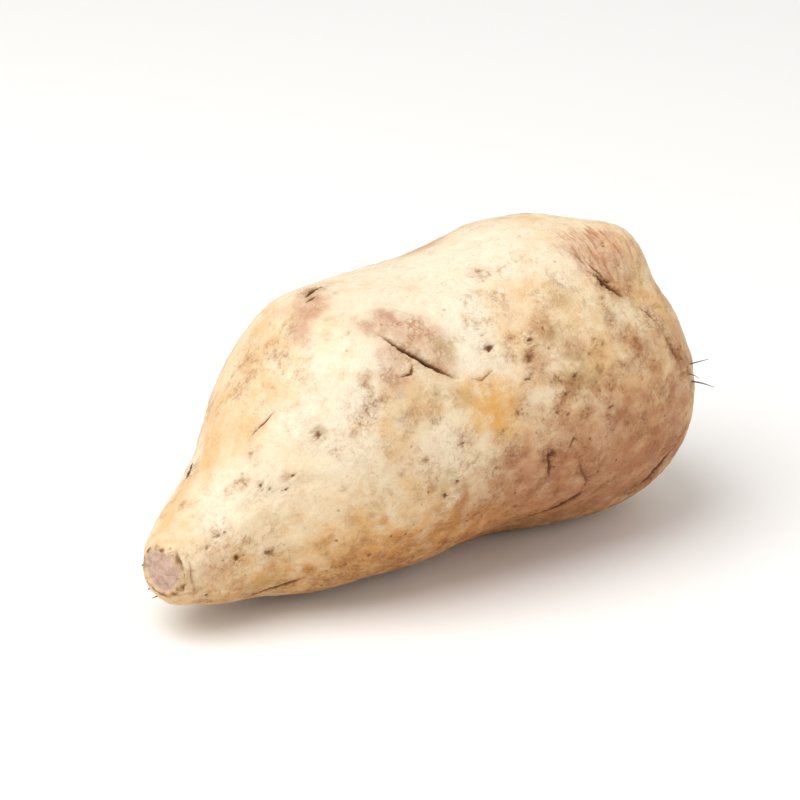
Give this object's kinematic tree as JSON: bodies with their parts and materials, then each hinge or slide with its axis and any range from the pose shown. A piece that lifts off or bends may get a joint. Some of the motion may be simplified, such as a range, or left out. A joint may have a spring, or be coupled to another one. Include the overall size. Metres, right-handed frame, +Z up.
{
  "type": "sweet potato",
  "caption": "Thick pale-skinned sweet potato tuber with a tapered, cut neck and a stem stub on its crown, lying on a small flat spot.",
  "frame": {"origin": "on the surface that the tuber lies on, under the middle of its bounding box", "axes": "+X along the tuber from the cut neck to the crown, +Z up from the surface that it lies on"},
  "size_m": [0.1654, 0.0838, 0.0814],
  "materials": {
    "skin": "matt cream and tan root skin with scurf, soil marks and small root scars"
  },
  "bodies": {
    "root": {"sweet_potato": "skin"}
  },
  "joints": []
}
